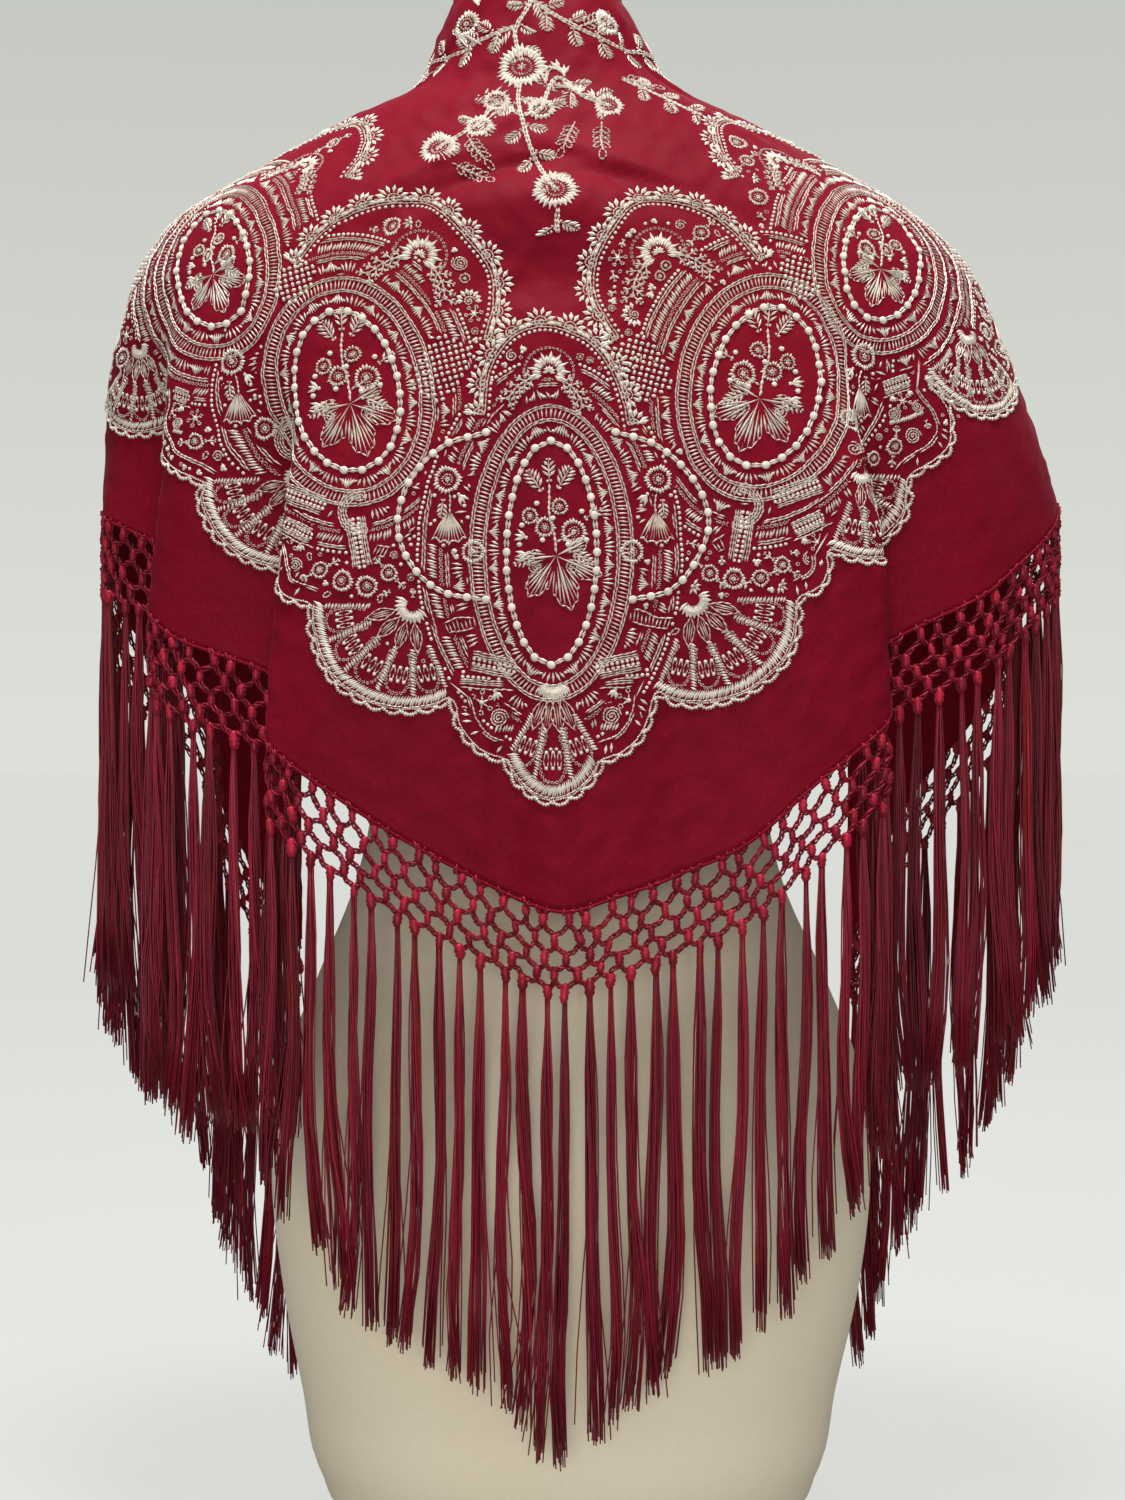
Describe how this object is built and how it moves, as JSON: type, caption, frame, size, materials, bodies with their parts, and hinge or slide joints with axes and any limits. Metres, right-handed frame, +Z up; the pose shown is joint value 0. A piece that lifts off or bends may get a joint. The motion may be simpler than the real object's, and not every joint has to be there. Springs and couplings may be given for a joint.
{
  "type": "fringed shawl on dress form",
  "caption": "Triangular embroidered silk shawl with a knotted net and a long fringe, worn over the shoulders of a limbless dress form that stands on its flat foot",
  "frame": {"origin": "centre of the dress form's flat foot", "axes": "+Z up, -Y towards the shawl's long back point, +Y towards its open front, +X to the right seen from behind the wearer"},
  "size_m": [0.5136, 0.2843, 0.848],
  "materials": {
    "silk": "crimson silk crepe, softly sheened",
    "thread": "deep crimson silk thread, glossy",
    "form": "smooth beige, satin"
  },
  "bodies": {
    "root": {"shawl_cloth": "silk", "net_left": "thread", "net_right": "thread", "fringe_left": "thread", "fringe_right": "thread", "dress_form": "form"}
  },
  "joints": []
}
